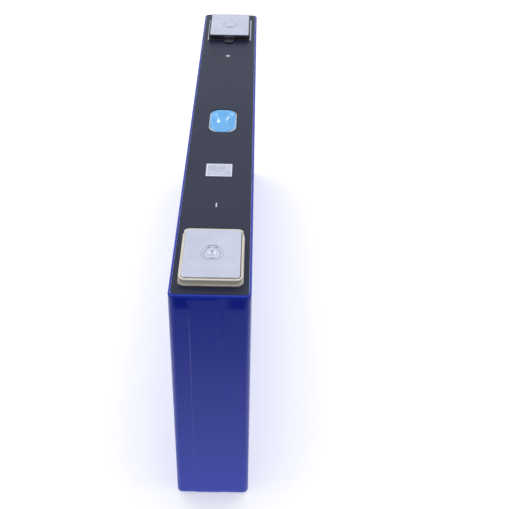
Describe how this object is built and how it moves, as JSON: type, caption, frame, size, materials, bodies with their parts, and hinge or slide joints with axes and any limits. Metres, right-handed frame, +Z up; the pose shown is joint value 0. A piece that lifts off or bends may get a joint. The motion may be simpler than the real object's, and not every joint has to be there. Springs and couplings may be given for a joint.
{
  "type": "prismatic battery cell",
  "caption": "Slim rectangular lithium-ion cell in blue film with flat riveted terminals at both ends of its top and a burst vent between them.",
  "frame": {"origin": "middle of the underside, on the surface that the cell stands on", "axes": "+Z up towards the terminals; +Y along the length towards the positive terminal; +X across the thickness"},
  "size_m": [0.0274, 0.22, 0.1053],
  "materials": {
    "blue_film": "blue PET film with a soft gloss",
    "cover_sheet": "black polycarbonate sheet, fine matt texture",
    "can_aluminium": "drawn aluminium, bare",
    "terminal_plate": "stamped aluminium, satin, for laser welding",
    "plated_copper": "nickel-plated copper",
    "copper": "rolled copper",
    "foil_aluminium": "rolled aluminium",
    "cream_plastic": "natural PPS, moulded",
    "black_plastic": "carbon-filled PPS, moulded",
    "insulator_plastic": "black polypropylene, moulded",
    "seal_rubber": "fluoroelastomer",
    "vent_film": "sky-blue PET film, glossy",
    "label": "white label stock, printed blank",
    "white_ink": "white ink",
    "separator": "separator film over the wound electrodes",
    "green_tape": "green polyester tape",
    "bag_film": "polypropylene film"
  },
  "bodies": {
    "root": {"case_can": "can_aluminium", "lid_plate": "can_aluminium", "film_wrap": "blue_film", "bottom_sheet": "blue_film", "cover_sheet": "cover_sheet", "code_label": "label", "plus_mark": "white_ink", "minus_mark": "white_ink", "vent_film": "vent_film", "vent_disc": "can_aluminium", "fill_plug": "seal_rubber", "fill_seal_disc": "can_aluminium", "negative_terminal_plate": "terminal_plate", "negative_pole": "plated_copper", "negative_seat": "cream_plastic", "negative_seal": "seal_rubber", "positive_terminal_plate": "terminal_plate", "positive_pole": "terminal_plate", "positive_seat": "black_plastic", "positive_seal": "seal_rubber", "negative_insulator": "insulator_plastic", "positive_insulator": "insulator_plastic", "negative_collector": "copper", "positive_collector": "foil_aluminium", "negative_tab_left": "copper", "negative_tab_right": "copper", "positive_tab_left": "foil_aluminium", "positive_tab_right": "foil_aluminium", "negative_weld_tape": "green_tape", "positive_weld_tape": "green_tape", "wound_core_left": "separator", "wound_core_right": "separator", "core_tape_left": "green_tape", "core_tape_right": "green_tape", "insulating_bag": "bag_film", "support_plate": "insulator_plastic"}
  },
  "joints": []
}
